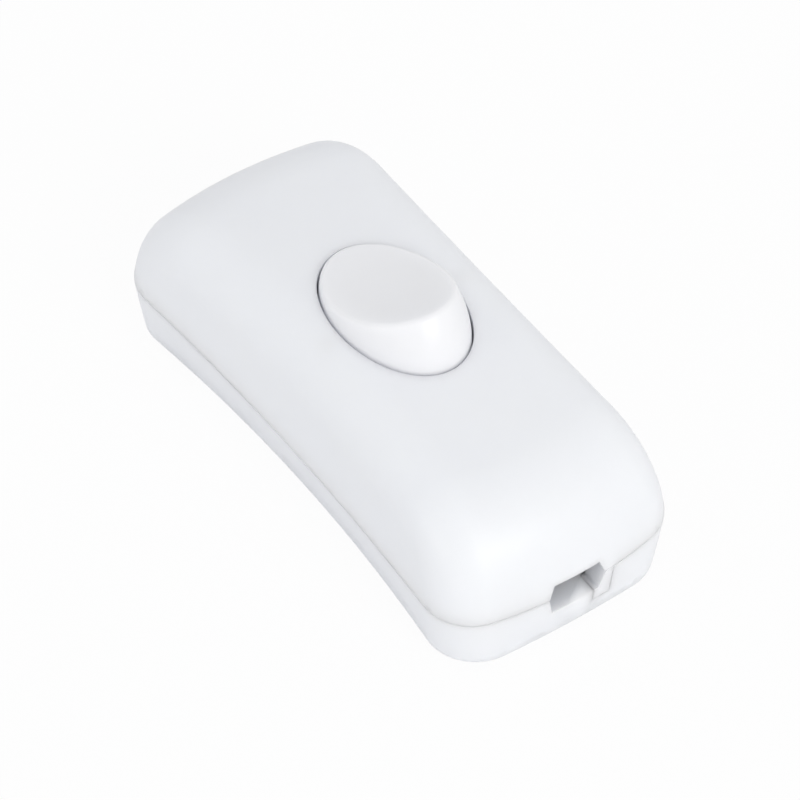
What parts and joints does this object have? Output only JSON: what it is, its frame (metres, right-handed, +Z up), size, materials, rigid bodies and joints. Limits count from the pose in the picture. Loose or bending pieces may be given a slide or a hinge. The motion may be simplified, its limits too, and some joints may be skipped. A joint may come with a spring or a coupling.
{
  "type": "inline cord switch",
  "caption": "White moulded in-line cord switch: waisted split body, oval see-saw rocker on top and a flat-cord entry at each end.",
  "frame": {"origin": "middle of the base, on the surface that the switch lies on", "axes": "+X along the body towards the entry that is nearer in the picture, +Y across it to the picture's upper right, +Z up through the rocker"},
  "size_m": [0.0658, 0.029, 0.0257],
  "materials": {
    "white_plastic": "satin moulded white",
    "plunger_plastic": "natural acetal",
    "clamp_plastic": "moulded, matt",
    "spring_steel": "drawn wire",
    "plated_steel": "bright zinc plate",
    "brass": "turned and drawn",
    "copper_alloy": "stamped strip",
    "contact_silver": "silver-faced, smooth"
  },
  "bodies": {
    "housing": {"upper_shell": "white_plastic", "lower_shell": "white_plastic", "cradle_terminal": "brass", "fixed_terminal": "brass", "fixed_rivet": "contact_silver", "neutral_terminal": "brass", "cord_clamp_near": "clamp_plastic", "cord_clamp_far": "clamp_plastic", "live_in_screw": "plated_steel", "live_out_screw": "plated_steel", "neutral_in_screw": "plated_steel", "neutral_out_screw": "plated_steel", "clamp_screw_near_left": "plated_steel", "clamp_screw_near_right": "plated_steel", "clamp_screw_far_left": "plated_steel", "clamp_screw_far_right": "plated_steel", "closing_screw_near": "plated_steel", "closing_screw_far": "plated_steel"},
    "rocker": {"rocker_button": "white_plastic", "plunger_spring": "spring_steel"},
    "plunger": {"rocker_plunger": "plunger_plastic"},
    "seesaw": {"seesaw_contact": "copper_alloy", "seesaw_rivet": "contact_silver"}
  },
  "joints": [
    {"name": "rocker_hinge", "type": "hinge", "parent": "housing", "child": "rocker", "pos_m": [0, 0, 0.0185], "axis": [0, 1, 0], "range_deg": [0, 34]},
    {"name": "seesaw_hinge", "type": "hinge", "parent": "housing", "child": "seesaw", "pos_m": [0, 0, 0.00937], "axis": [0, 1, 0], "range_deg": [-18, 0]},
    {"name": "plunger_slide", "type": "slide", "parent": "rocker", "child": "plunger", "axis": [-0.2924, 0, 0.9563], "range_m": [0, 0.0012], "stiffness_N_per_m": 300, "springref_m": -0.001, "deforming": ["plunger_spring"]}
  ],
  "couplings": [
    {"joint": "seesaw_hinge", "follows": "rocker_hinge", "ratio": -0.529}
  ]
}
